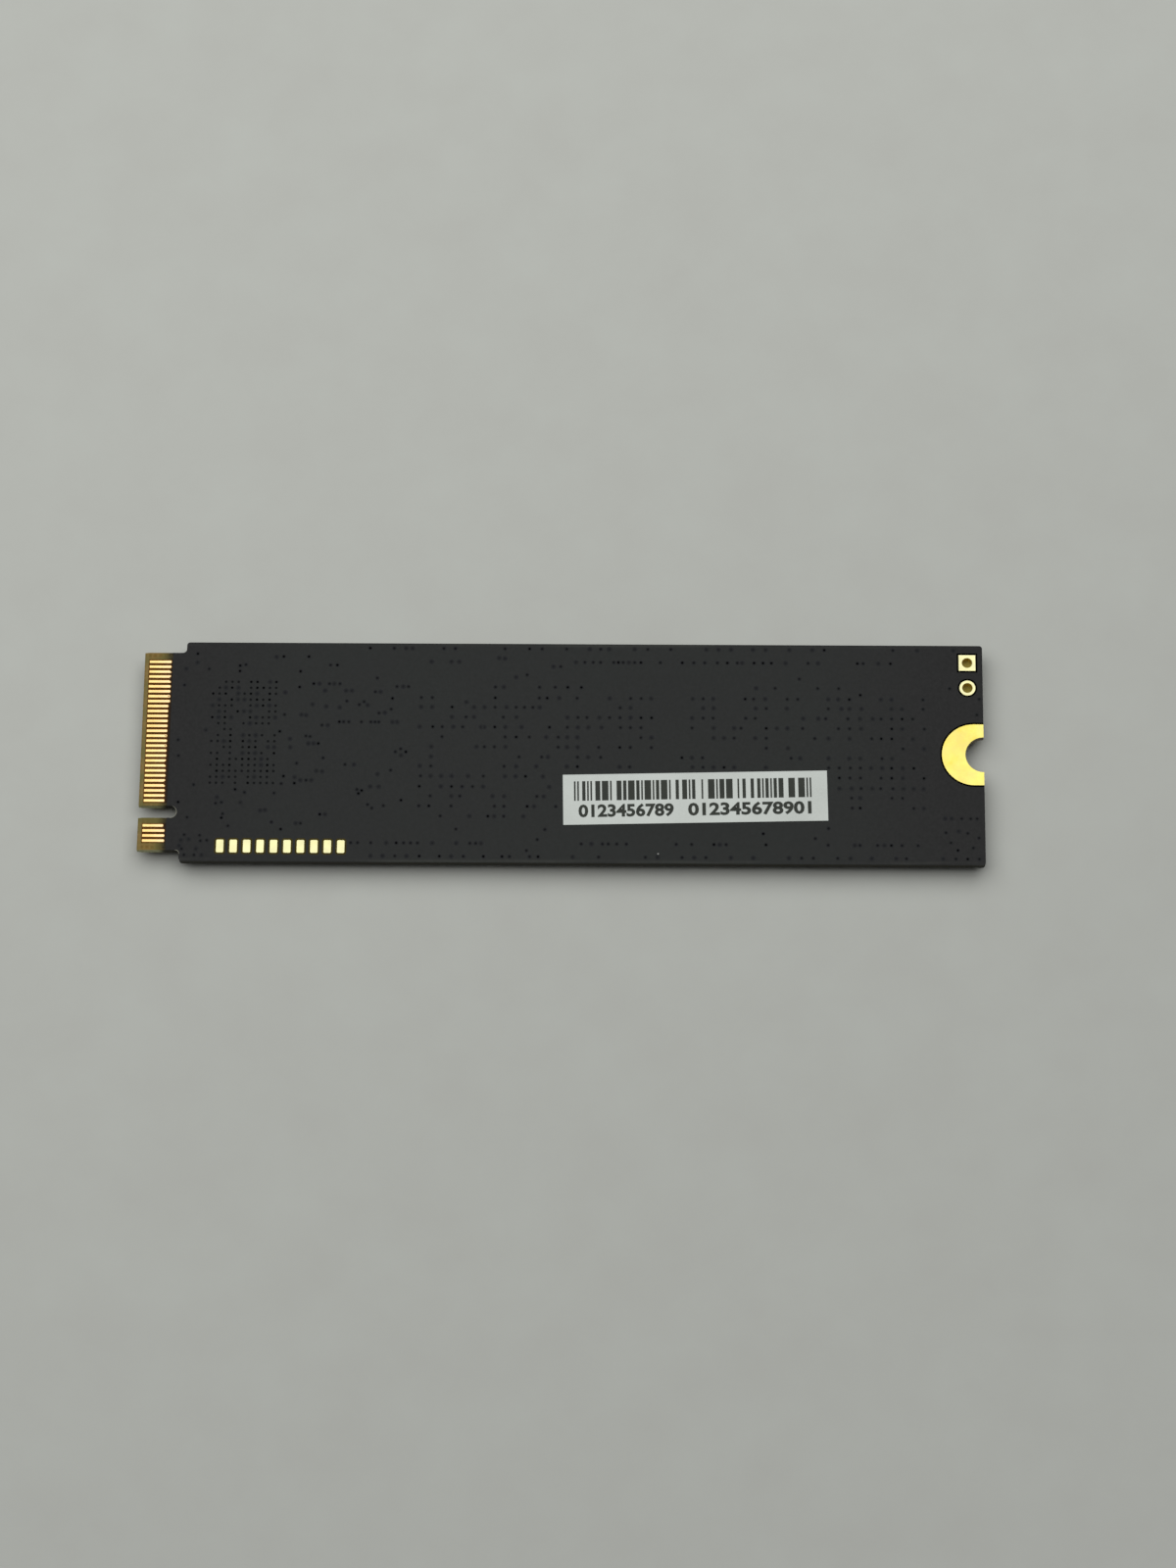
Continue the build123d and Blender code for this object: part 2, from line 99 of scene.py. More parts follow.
def startGroup(name, inputs, outputs):
    group = bpy.data.node_groups.new(name, "ShaderNodeTree")
    for label, value in inputs.items():
        kind = "NodeSocketVector" if isinstance(value, tuple) else "NodeSocketFloat"
        socket = group.interface.new_socket(label, in_out="INPUT", socket_type=kind)
        socket.default_value = value
    for label in outputs:
        group.interface.new_socket(label, in_out="OUTPUT", socket_type="NodeSocketFloat")
    return group, group.nodes.new("NodeGroupInput"), group.nodes.new("NodeGroupOutput")


def useGroup(tree, group, values):
    made = tree.nodes.new("ShaderNodeGroup")
    made.node_tree = group
    for key, value in values.items():
        made.inputs[key].default_value = value
    return made


# Shared effects

def makeGrain():
    group, given, out = startGroup("fineGrain", {"Scale": 1000.0, "Low": 0.4, "High": 0.6}, ["Mask"])
    place = addNode(group, "ShaderNodeTexCoord")
    noise = addNode(group, "ShaderNodeTexNoise", {
        "Vector": place.outputs["Object"], "Scale": given.outputs["Scale"], "Detail": 4.0, "Roughness": 0.6})
    spread = addNode(group, "ShaderNodeMapRange", {
        "Value": noise.outputs["Fac"], "From Min": given.outputs["Low"], "From Max": given.outputs["High"]})
    group.links.new(spread.outputs["Result"], out.inputs["Mask"])
    return group


def makeSmear():
    group, given, out = startGroup(
        "longSmear", {"Stretch": (1.0, 1.0, 1.0), "Low": 0.35, "High": 0.7}, ["Mask"])
    place = addNode(group, "ShaderNodeTexCoord")
    pull = addNode(group, "ShaderNodeVectorMath", {
        0: place.outputs["Object"], 1: given.outputs["Stretch"]}, operation="MULTIPLY")
    noise = addNode(group, "ShaderNodeTexNoise", {
        "Vector": pull.outputs["Vector"], "Scale": 1.0, "Detail": 3.0, "Roughness": 0.55})
    spread = addNode(group, "ShaderNodeMapRange", {
        "Value": noise.outputs["Fac"], "From Min": given.outputs["Low"], "From Max": given.outputs["High"]})
    group.links.new(spread.outputs["Result"], out.inputs["Mask"])
    return group


def makeWeave():
    group, given, out = startGroup("glassWeave", {"Scale": 700.0, "Low": 0.2, "High": 0.9}, ["Mask"])
    place = addNode(group, "ShaderNodeTexCoord")
    bands = []
    for direction in ("X", "Y"):
        wave = addNode(group, "ShaderNodeTexWave", {
            "Vector": place.outputs["Object"], "Scale": given.outputs["Scale"], "Distortion": 1.2,
            "Detail": 2.0}, bands_direction=direction)
        bands.append(wave.outputs["Fac"])
    both = addNode(group, "ShaderNodeMath", {0: bands[0], 1: bands[1]}, operation="MAXIMUM")
    spread = addNode(group, "ShaderNodeMapRange", {
        "Value": both.outputs["Value"], "From Min": given.outputs["Low"], "From Max": given.outputs["High"]})
    group.links.new(spread.outputs["Result"], out.inputs["Mask"])
    return group


grain = makeGrain()
smear = makeSmear()
weave = makeWeave()


def blendColours(tree, mask, first, second):
    made = addNode(tree, "ShaderNodeMix", {"Factor": mask}, data_type="RGBA")
    for socket, value in ((made.inputs[6], first), (made.inputs[7], second)):
        if isinstance(value, bpy.types.NodeSocket):
            tree.links.new(value, socket)
        else:
            socket.default_value = (*value, 1)
    return made.outputs[2]


def varyValue(tree, mask, low, high):
    made = addNode(tree, "ShaderNodeMapRange", {"Value": mask, "To Min": low, "To Max": high})
    return made.outputs["Result"]


def raiseBumps(tree, shader, mask, strength, distance):
    made = addNode(tree, "ShaderNodeBump", {"Height": mask, "Strength": strength, "Distance": distance})
    tree.links.new(made.outputs["Normal"], shader.inputs["Normal"])


def stepUp(tree, value, low, high):
    made = addNode(tree, "ShaderNodeMapRange", {
        "Value": value, "From Min": low * mm, "From Max": high * mm}, interpolation_type="SMOOTHSTEP")
    return made.outputs["Result"]


def multiply(tree, first, second):
    return addNode(tree, "ShaderNodeMath", {0: first, 1: second}, operation="MULTIPLY").outputs["Value"]


def between(tree, value, low, high, soft):
    falling = stepUp(tree, value, high, high - soft)
    return multiply(tree, stepUp(tree, value, low, low + soft), falling)


def absolute(tree, value):
    return addNode(tree, "ShaderNodeMath", {0: value}, operation="ABSOLUTE").outputs["Value"]


def objectAxes(tree):
    place = addNode(tree, "ShaderNodeTexCoord")
    return addNode(tree, "ShaderNodeSeparateXYZ", {0: place.outputs["Object"]}).outputs


def levelShare(tree):
    # 1 on faces that look straight up or down, 0 on upright walls
    shape = addNode(tree, "ShaderNodeNewGeometry")
    facing = addNode(tree, "ShaderNodeSeparateXYZ", {0: shape.outputs["True Normal"]})
    return absolute(tree, facing.outputs["Z"])


# How sharply a grain or a smear turns into a mask
softRange = {"Low": 0.35, "High": 0.65}
wideRange = {"Low": 0.3, "High": 0.7}


def grainyMaterial(name, look):
    # two tones in broad patches, a fine grain over them, and a bump from the grain
    material, tree, shader = startMaterial(name, look.get("plain", {}))
    patches = useGroup(tree, grain, {"Scale": look["patchScale"], **softRange})
    fine = useGroup(tree, grain, {"Scale": look["grainScale"], **wideRange})
    broad = blendColours(tree, patches.outputs["Mask"], look["dark"], look["light"])
    colour = blendColours(tree, varyValue(tree, fine.outputs["Mask"], 0, look["grainShare"]),
                          broad, look["fleck"])
    tree.links.new(colour, shader.inputs["Base Color"])
    tree.links.new(varyValue(tree, fine.outputs["Mask"], *look["roughness"]), shader.inputs["Roughness"])
    raiseBumps(tree, shader, fine.outputs["Mask"], look["bump"], look["depth"])
    return material


# Solder mask: matt charcoal with a faint mottle, browner at both ends of the card, and paler in
# streaks along its long sides: painted highlight where the rounded mask edge catches the light, with some
# wear
maskLook = {
    "dark": (0.0112, 0.0121, 0.0118), "light": (0.0117, 0.0135, 0.0125), "fleck": (0.0165, 0.0180, 0.0168),
    "patchScale": 70, "grainScale": 3800, "grainShare": 0.5, "roughness": (0.52, 0.66),
    "bump": 0.25, "depth": 0.00001, "plain": {"Specular IOR Level": 0.148},
    "ends": (0.0098, 0.0095, 0.0097), "endStart": 24.0, "endFull": 38.0, "endShare": 0.75,
    "wearAndSheen": (0.025, 0.027, 0.023), "wearAndSheenFrom": 10.62, "wearAndSheenTo": 10.80,
    "wearAndSheenStreaks": {"Stretch": (75.0, 900.0, 900.0), "Low": 0.50, "High": 0.68}}


def makeMask(look):
    material = grainyMaterial("charcoalMask", look)
    tree = material.node_tree
    baseColour = tree.nodes["Principled BSDF"].inputs["Base Color"]
    axes = objectAxes(tree)
    towardsEnds = stepUp(tree, absolute(tree, axes["X"]), look["endStart"], look["endFull"])
    share = varyValue(tree, towardsEnds, 0, look["endShare"])
    colour = blendColours(tree, share, baseColour.links[0].from_socket, look["ends"])
    # painted highlight along the long sides, where the rounded mask edge catches the light, mixed with wear
    # and streaked by a long smear
    rim = stepUp(tree, absolute(tree, axes["Y"]), look["wearAndSheenFrom"], look["wearAndSheenTo"])
    wearAndSheenStreaks = useGroup(tree, smear, look["wearAndSheenStreaks"])
    wearAndSheen = multiply(tree, rim, wearAndSheenStreaks.outputs["Mask"])
    tree.links.new(blendColours(tree, wearAndSheen, colour, look["wearAndSheen"]), baseColour)
    return material


maskMaterial = makeMask(maskLook)
dress(maskMaterial, "solder_mask_back", "solder_mask_front")


# Laminate: olive glass weave where the tongue is bare, brown between the fingers with painted shade and
# gold-tinted reflected light, pale walls on the tongue as painted light, and a dark sawn edge round the card
laminateLook = {
    "bare": (0.155, 0.097, 0.023), "thread": (0.208, 0.135, 0.040), "olive": (0.122, 0.104, 0.029),
    # the gaps between the fingers: laminate darkened and browned as painted shade and reflected gold light,
    # darker still by the mask
    "between": (0.105, 0.034, 0.0008), "gapShadeDeep": (0.050, 0.014, 0.0005),
    # the tongue's walls: olive-grey laminate made much paler than the tongue's top, as painted light on
    # walls the lamp barely reaches
    "wall": (0.42, 0.42, 0.24), "wallEnd": (-38.1, -37.35),
    # the bare tongue turns darker towards the mask
    "darkNearMask": (0.020, 0.017, 0.008), "darkNearMaskAt": (-38.35, -37.25), "darkNearMaskShare": (0.8, 1.1),
    "deeperGapShade": (0.016, 0.008, 0.003), "deeperGapShadeAt": (-37.75, -37.40),
    "edge": (0.017, 0.017, 0.012), "edgeFleck": (0.040, 0.038, 0.028), "shoulder": -36.15, "fade": 0.3,
    "rows": ((-5.32, 9.32), (-9.3, -7.2)), "rowSoft": 0.15, "columns": (-39.62, -37.0), "columnSoft": 0.06,
    "threads": {"Scale": 620, "Low": 0.3, "High": 1.0}, "fine": {"Scale": 5200, **softRange},
    "patches": {"Scale": 520, "Low": 0.40, "High": 0.62},
    "roughness": (0.45, 0.65), "bump": 0.3, "depth": 0.00002, "plain": {"Specular IOR Level": 0.08}}


def makeLaminate(look):
    material, tree, shader = startMaterial("wovenLaminate", look["plain"])
    threads = useGroup(tree, weave, look["threads"])
    fine = useGroup(tree, grain, look["fine"])
    patches = useGroup(tree, grain, look["patches"])
    tongue = blendColours(tree, threads.outputs["Mask"], look["bare"], look["thread"])
    tongue = blendColours(tree, patches.outputs["Mask"], tongue, look["olive"])
    axes = objectAxes(tree)
    x, y = axes["X"], axes["Y"]
    # the bare tongue darkens unevenly towards the mask
    uneven = varyValue(tree, fine.outputs["Mask"], *look["darkNearMaskShare"])
    darkenedNearMask = addNode(tree, "ShaderNodeMath", {0: stepUp(tree, x, *look["darkNearMaskAt"]), 1: uneven},
                      operation="MULTIPLY", use_clamp=True)
    tongue = blendColours(tree, darkenedNearMask.outputs["Value"], tongue, look["darkNearMask"])
    # painted shade and reflected gold light in the narrow gaps between the fingers, deepest where they meet
    # the mask
    shadedGaps = blendColours(tree, fine.outputs["Mask"], look["gapShadeDeep"], look["between"])
    shadedGaps = blendColours(tree, stepUp(tree, x, *look["deeperGapShadeAt"]), shadedGaps, look["deeperGapShade"])
    for low, high in look["rows"]:
        inRow = multiply(tree, between(tree, y, low, high, look["rowSoft"]),
                         between(tree, x, *look["columns"], look["columnSoft"]))
        tongue = blendColours(tree, inRow, tongue, shadedGaps)
    sawn = blendColours(tree, fine.outputs["Mask"], look["edge"], look["edgeFleck"])
    # painted light: the tongue's walls are given a far paler colour than their laminate so that they look
    # lit
    wall = blendColours(tree, stepUp(tree, x, *look["wallEnd"]), look["wall"], sawn)
    tongue = blendColours(tree, levelShare(tree), wall, tongue)
    body = stepUp(tree, x, look["shoulder"] - look["fade"], look["shoulder"] + look["fade"])
    tree.links.new(blendColours(tree, body, tongue, sawn), shader.inputs["Base Color"])
    tree.links.new(varyValue(tree, fine.outputs["Mask"], *look["roughness"]), shader.inputs["Roughness"])
    raiseBumps(tree, shader, threads.outputs["Mask"], look["bump"], look["depth"])
    return material


dress(makeLaminate(laminateLook), "board_laminate")


# Gold: rosy and streaked on the fingers, yellow and mottled on the lands
metalGrain = {"Scale": 6500, **wideRange}
metalDepth = 0.00001


def goldMaterial(name, look):
    # "wall" is the colour of upright faces, such as the barrel of a plated hole
    material, tree, shader = startMaterial(name, {"Metallic": 1.0})
    mottle = useGroup(tree, grain, {"Scale": look["mottleScale"], **softRange})
    streaks = useGroup(tree, smear, {"Stretch": look["stretch"], **wideRange})
    broad = blendColours(tree, mottle.outputs["Mask"], look["dark"], look["light"])
    colour = blendColours(tree, varyValue(tree, streaks.outputs["Mask"], 0, look["streakShare"]),
                          broad, look["streak"])
    if "far" in look:
        share = varyValue(tree, stepUp(tree, objectAxes(tree)["X"], *look["farAt"]), 0, look["farShare"])
        colour = blendColours(tree, share, colour, look["far"])
    if "wall" in look:
        level = levelShare(tree)
        colour = blendColours(tree, level, look["wall"], colour)
        tree.links.new(varyValue(tree, level, look["wallMetal"], 1.0), shader.inputs["Metallic"])
    tree.links.new(colour, shader.inputs["Base Color"])
    tree.links.new(varyValue(tree, streaks.outputs["Mask"], *look["roughness"]), shader.inputs["Roughness"])
    fine = useGroup(tree, grain, metalGrain)
    raiseBumps(tree, shader, fine.outputs["Mask"], look["bump"], metalDepth)
    return material


fingerGold = {
    "dark": (0.518, 0.339, 0.115), "light": (0.576, 0.419, 0.159), "streak": (0.643, 0.521, 0.248),
    "mottleScale": 900, "stretch": (400.0, 5200.0, 5200.0), "streakShare": 0.45, "roughness": (0.28, 0.46),
    "bump": 0.12, "far": (0.605, 0.465, 0.283), "farAt": (-39.2, -37.4), "farShare": 0.6}
# the screw land's upright wall is dark brown and not metal, in place of its gold plate: painted shade inside
# the half-moon
landGold = {
    "dark": (0.443, 0.351, 0.064), "light": (0.542, 0.482, 0.111), "streak": (0.611, 0.542, 0.207),
    "mottleScale": 380, "stretch": (900.0, 700.0, 700.0), "streakShare": 0.50, "roughness": (0.28, 0.50),
    "bump": 0.10, "wall": (0.110, 0.062, 0.012), "wallMetal": 0.0}
padGold = {
    "dark": (0.437, 0.416, 0.208), "light": (0.485, 0.463, 0.255), "streak": (0.542, 0.529, 0.350),
    "mottleScale": 800, "stretch": (1200.0, 1500.0, 900.0), "streakShare": 0.40, "roughness": (0.30, 0.48),
    "bump": 0.10, "wall": (0.80, 0.61, 0.17), "wallMetal": 1.0}
fingerMaterial = goldMaterial("fingerGold", fingerGold)
dress(fingerMaterial, "contact_fingers_back", "contact_fingers_front")
dress(goldMaterial("landGold", landGold), "screw_land")
dress(goldMaterial("padGold", padGold), "header_land_square", "header_land_round", "test_pads")


# Etching leaves each finger's flanks sloping, so its flat top is narrower than its foot
# the flanks are painted a dull dark brown without gloss in place of their gold: painted shade
flankLook = {
    "dark": (0.105, 0.036, 0.0008), "light": (0.185, 0.072, 0.0015), "fleck": (0.26, 0.11, 0.004),
    "patchScale": 900, "grainScale": 8000, "grainShare": 0.4, "roughness": (0.5, 0.7),
    "bump": 0.1, "depth": 0.000005, "plain": {"Specular IOR Level": 0.0}}
flankMaterial = grainyMaterial("shadedFlank", flankLook)
etch = {"slope": 0.055, "foot": 0.004}

# A mesh that comes from the frame is joined up again: corners this near are one, faces that turn
# less than this are one, and a face this level counts as a top
joining = {"weld": 1e-7, "turn": math.radians(1), "level": 0.9}


def etchFingers(source, up, values):
    # up is 1 on the back face and -1 on the front face
    bm = bmesh.new()
    bm.from_mesh(nodes[source].data)
    bm.transform(nodes[source].matrix_world)
    bmesh.ops.remove_doubles(bm, verts=bm.verts, dist=joining["weld"])
    bmesh.ops.dissolve_limit(bm, angle_limit=joining["turn"], verts=bm.verts, edges=bm.edges)
    tops = [face for face in bm.faces if face.normal.z * up > joining["level"]]
    made = bmesh.ops.inset_region(bm, faces=tops, thickness=values["slope"] * mm, depth=0,
                                  use_boundary=True, use_even_offset=True)
    flat = {vert for face in tops for vert in face.verts}
    rims = {vert for face in made["faces"] for vert in face.verts} - flat
    under = min(bm.verts, key=lambda vert: vert.co.z * up).co.z
    for vert in rims:
        vert.co.z = under + up * values["foot"] * mm
    for face in bm.faces:
        face.material_index = 1
    for face in tops:
        face.material_index = 0
    piece = finishPiece(bm, source + "_etched", [fingerMaterial, flankMaterial])
    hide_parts(source)


etchFingers("contact_fingers_back", 1, etch)
etchFingers("contact_fingers_front", -1, etch)
print("fingers etched")


# Label: satin paper with a faint fibre, and soft-edged ink
labelLook = {
    "dark": (0.452, 0.480, 0.448), "light": (0.522, 0.555, 0.522), "fleck": (0.59, 0.63, 0.60),
    "patchScale": 160, "grainScale": 5200, "grainShare": 0.35, "roughness": (0.42, 0.58),
    "bump": 0.12, "depth": 0.00001, "plain": {"Specular IOR Level": 0.3}}
inkLook = {
    "dark": (0.010, 0.013, 0.009), "light": (0.016, 0.019, 0.013), "fleck": (0.045, 0.052, 0.042),
    "patchScale": 700, "grainScale": 9000, "grainShare": 0.35, "roughness": (0.45, 0.65),
    "bump": 0.1, "depth": 0.000005, "plain": {"Specular IOR Level": 0.2}}
dress(grainyMaterial("labelPaper", labelLook), "label_paper")
inkMaterial = grainyMaterial("labelInk", inkLook)
dress(inkMaterial, "label_bars")

labelPrint = {"tilt": 1.3, "capHeight": 1.33, "baseline": -1.81, "thickness": 0.01, "boldness": 0.036,
              "curveSteps": 3, "weld": 1e-8,
              "groups": (("0123456789", -11.05, -2.05), ("012345678901", -0.70, 10.95))}


def makeDigits(values):
    low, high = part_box("label_paper")
    middle = (low + high) / 2
    onLabel = Matrix.Translation((middle.x, middle.y, high.z)) @ Matrix.Rotation(
        math.radians(values["tilt"]), 4, "Z")
    bm = bmesh.new()
    for index, (digits, left, right) in enumerate(values["groups"]):
        curve = bpy.data.curves.new(f"digits{index}", "FONT")
        curve.body = digits
        curve.extrude = values["thickness"] * mm / 2
        curve.resolution_u = values["curveSteps"]
        curve.offset = values["boldness"]
        typed = bpy.data.objects.new(f"digits{index}", curve)
        bpy.context.scene.collection.objects.link(typed)
        bpy.context.view_layer.update()
        mesh = bpy.data.meshes.new_from_object(typed.evaluated_get(bpy.context.evaluated_depsgraph_get()))
        xs = [v.co.x for v in mesh.vertices]
        ys = [v.co.y for v in mesh.vertices]
        wide = (right - left) * mm / (max(xs) - min(xs))
        tall = values["capHeight"] * mm / (max(ys) - min(ys))
        mesh.transform(
            onLabel @ Matrix.Translation((left * mm, values["baseline"] * mm, values["thickness"] * mm / 2))
            @ Matrix.Diagonal((wide, tall, 1, 1)) @ Matrix.Translation((-min(xs), -min(ys), 0)))
        bm.from_mesh(mesh)
        bpy.data.objects.remove(typed)
        bpy.data.meshes.remove(mesh)
    bmesh.ops.remove_doubles(bm, verts=bm.verts, dist=values["weld"])
    finishPiece(bm, "label_digits", [inkMaterial])


makeDigits(labelPrint)
print("label printed")


# Tented vias: shallow dishes in the mask, of five kinds, darker towards the middle as painted shade of the
# dimple
viaTones = {"dark": (0.85, 0.95, 1.15), "light": (1.05, 1.15, 1.2), "fleck": (1.3, 1.35, 1.4)}


def viaShades(shades):
    return [grainyMaterial(f"viaShade{index}", {
        **{tone: tuple(shade * share for share in shares) for tone, shares in viaTones.items()},
        "patchScale": 900, "grainScale": 9000, "grainShare": 0.4, "roughness": (0.55, 0.7),
        "bump": 0.1, "depth": 0.000005, "plain": {"Specular IOR Level": spec}})
        for index, (shade, spec) in enumerate(shades)]


# the shade and the gloss of each step, from the rim of a dish to its middle
viaSteps = viaShades(((0.0100, 0.12), (0.0070, 0.088), (0.0032, 0.053), (0.0008, 0.01)))
# radius of each ring in millimetres, then the shade inside it
viaKinds = {
    "deep": ((0.21, 0), (0.150, 1), (0.105, 3)),
    "middling": ((0.21, 0), (0.140, 1), (0.090, 2)),
    "faint": ((0.25, 0), (0.130, 1)),
    "pin": ((0.150, 1), (0.105, 3)),
    "speck": ((0.140, 1), (0.100, 2))}
viaMix = ("deep", "middling", "middling", "middling", "faint", "faint", "faint")
fieldMix = ("pin", "speck", "speck", "speck", "faint")

# under the controller: one letter for each place of its grid, o where a via stands
controllerField = {
    "left": -33.33, "top": 7.0, "pitch": 0.6,
    "rows": ("..ooo.oo.oo", ".oooo.ooooo", "ooo.oooo.oo", ".o.ooooooo.", "oooo..ooooo", ".oo.ooo..oo",
             "oooo..ooooo", ".oo..ooooo.", "..oo.......", ".o.o.oooo.o", "oooo.ooo.oo", "..oo.ooo.oo",
             "oo.o.oooo.o", ".o.ooooooo.", "oooo.oooooo", ".oooooooooo", "ooooo.oooo.", "ooo.o.ooooo")}

# rows of vias across the card: height of the row, then the places along it
viaRows = {
    10.5: (-18.45, -16.15, -15.0, -14.4, -11.4, -10.3, -5.55, -3.2, -2.0, 0.35, 2.55, 3.6, 4.4, 6.85, 8.1,
           10.3, 13.7, 14.85, 16.05, 18.15, 19.35, 21.6, 23.8, 24.95, 31.5, 33.8, 37.25),
    9.15: (-12.55, -10.65, -9.9, 1.25, 2.1, 2.9, 3.6, 4.85, 5.3, 5.75, 6.3, 6.85, 7.45, 9.3, 11.4, 12.5,
           13.55, 14.75, 15.7, 16.65, 17.1, 18.25, 19.1, 19.9, 21.25, 23.4, 24.35, 28.1, 28.65, 30.1,
           31.25),
    6.85: (-23.75, -23.2, -22.25, -21.8, -21.25),
    6.6: (-15.8, -15.2, -14.7, -6.4, -5.6, -2.2, -0.7, 0.5, 1.8, 18.45, 20.25, 24.3, 26.3),
    5.5: (-13.45, -12.4, -6.4, -2.2, -1.45, -0.3, 1.4, 4.5, 6.5, 7.5, 8.45, 12.4, 13.4, 14.35, 17.4, 18.2,
          19.3, 21.4, 22.4, 25.3, 26.25, 27.3, 30.3, 31.3, 34.3),
    4.55: (-13.45, -12.4, -10.5, -8.4, -7.4, -6.4, -5.3, -4.4, -3.6, -2.8, -2.15, 5.5, 6.5, 13.4, 14.4,
           18.4, 19.4, 21.35, 25.3, 26.55, 27.3, 28.45, 31.3, 32.3, 34.3),
    3.55: (-10.5, -9.15, -8.4, -5.6, -4.35, 0.5, 1.5, 2.35, 3.55, 4.5, 5.5, 6.5, 7.5, 8.5, 12.35, 13.4,
           14.35, 17.45, 18.35, 22.9, 24.35, 25.05, 27.15, 28.3, 29.5, 30.3, 31.3, 32.3, 33.3),
    3.0: (-21.2, -20.8, -20.3, -19.1, -18.2, -17.8, -17.45, -16.15, -15.7),
    2.55: (-13.55, -12.3, -11.4, -10.35, -9.45, -7.7, -7.4, -6.4, -5.4, -3.85, -1.2, 0.5, 1.5, 2.5, 3.75,
           5.55, 6.5, 7.5, 12.35, 14.4, 16.35, 17.0, 19.4, 20.4, 21.4, 22.85, 26.25, 27.3, 28.4, 31.3,
           32.3, 34.4),
    1.55: (-11.4, -5.4, -4.35, -3.1, -1.5, -0.35, 0.5, 1.45, 7.5, 8.5, 14.4, 15.4, 16.35, 18.35, 19.4,
           24.0, 25.3, 27.3, 29.4, 30.3, 31.3, 33.3),
    0.8: (-24.1, -23.6, -23.15),
    0.55: (-12.4, -8.1, -7.35, -6.4, -5.35, -0.35, 0.5, 1.5, 3.5, 5.5, 6.5, 8.5, 19.4, 21.45, 32.35, 34.35),
    -0.45: (-12.4, -4.05, -1.9, -1.3, 1.5, 2.5, 3.7, 11.4, 12.35, 13.35, 21.75, 22.6, 25.3, 27.25, 28.3,
            30.35, 31.3),
    -1.4: (-13.45, -12.4, -4.3, -5.45, -2.4, 0.5, 1.5, 5.5, 6.45, 12.4, 13.4, 14.4, 15.4, 16.35, 19.35,
           25.3, 26.3, 27.35, 28.3, 29.3, 30.35, 31.25, 32.3, 33.35),
    -2.4: (-13.35, -12.4, -11.4, -10.4, -8.85, -7.4, -5.35, -4.35, -3.4, -1.75, 26.3, 27.3, 28.3, 30.25,
           31.25, 32.3, 34.3),
    -2.9: (-24.75, -24.2, -23.7),
    -3.45: (-13.45, -11.4, -10.4, -9.4, -8.4, -7.4, -1.15, 26.3, 27.45, 28.35, 29.4, 30.2, 31.35, 32.35,
            33.3, 34.25),
    -4.4: (-12.4, -10.4, -9.6, -6.5, -5.4, -2.3, -1.65, 27.45, 28.25, 31.25, 32.25),
    -5.4: (-13.45, -12.5, -10.4, -6.3, -5.4, -3.2, -2.55, -0.5, 27.5, 28.25, 33.3, 34.25),
    -6.4: (-11.4, -8.65, -6.9, -6.3, -5.4, -3.55, 36.25, 36.85, 37.8, 38.65, 39.25),
    -9.1: (-19.8, -19.15, -17.9, -16.45, -15.5, -14.8, -14.15, -13.5, -12.1, -9.85, -8.55, -8.0, -7.5,
           1.95, 2.9, 3.95, 4.5, 5.3, 6.2, 10.9, 12.35, 14.45, 15.0, 15.6, 19.35, 25.2, 27.7, 28.2, 29.85,
           30.5, 31.15, 32.15, 33.65),
    -10.4: (-17.9, -16.75, -15.6, -14.5, -13.3, -11.4, -10.3, -9.15, -7.25, -5.5, -4.8, -2.9, -2.1, 1.15,
            3.6, 8.0, 9.15, 11.45, 12.6, 13.7, 16.05, 18.15, 21.5, 22.7, 23.8, 26.1, 27.3, 29.3, 31.6,
            32.55, 36.0, 37.2, 38.3, 39.4)}

